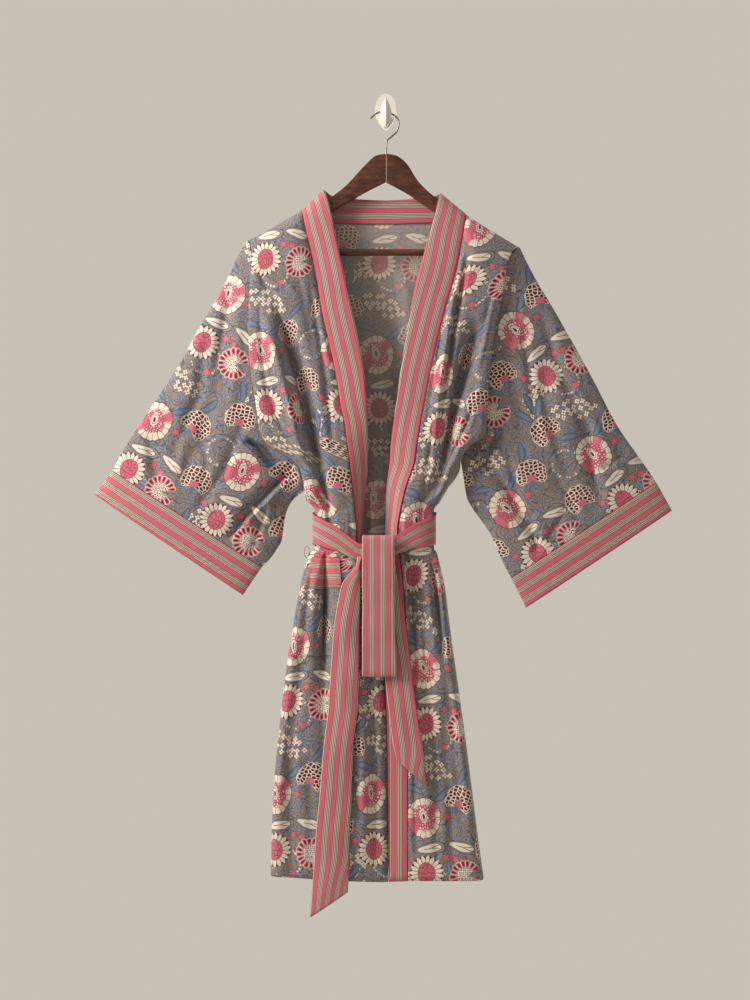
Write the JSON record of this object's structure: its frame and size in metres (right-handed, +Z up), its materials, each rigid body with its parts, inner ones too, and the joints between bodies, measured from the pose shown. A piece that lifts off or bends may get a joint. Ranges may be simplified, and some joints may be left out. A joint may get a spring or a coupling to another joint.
{
  "type": "kimono robe on a wooden hanger and wall hook",
  "caption": "Kimono robe with open sleeves, striped bands and a tied sash, hanging from a wooden trouser hanger on a plastic wall hook.",
  "frame": {"origin": "centre of the wall hook's flat back, on the wall plane y = 0", "axes": "+Z up, +Y into the wall, so the robe hangs on the -Y side and is seen looking along +Y; +X to the viewer's right"},
  "size_m": [0.939, 0.104, 1.337],
  "materials": {
    "printed_cotton": "matt plain weave with a block-printed pattern of flowers, fans and leaves",
    "striped_cotton": "matt plain weave striped in rose and cream",
    "dark_wood": "stained dark brown, satin",
    "steel_wire": "plain drawn wire",
    "white_plastic": "off-white, slightly glossy"
  },
  "bodies": {
    "root": {"back": "printed_cotton", "band_left": "striped_cotton", "band_neck": "striped_cotton", "band_right": "striped_cotton", "belt_loop": "printed_cotton", "cuff_left": "striped_cotton", "cuff_right": "striped_cotton", "front_left": "printed_cotton", "front_right": "printed_cotton", "hanger_bar": "dark_wood", "hanger_hook": "steel_wire", "hanger_wood_left": "dark_wood", "hanger_wood_right": "dark_wood", "pocket": "printed_cotton", "pocket_trim": "striped_cotton", "sash_knot": "striped_cotton", "sash_loop": "striped_cotton", "sash_tail_long": "striped_cotton", "sash_tail_short": "striped_cotton", "sash_wrap": "striped_cotton", "sleeve_left": "printed_cotton", "sleeve_right": "printed_cotton", "wall_hook": "white_plastic"}
  },
  "joints": []
}
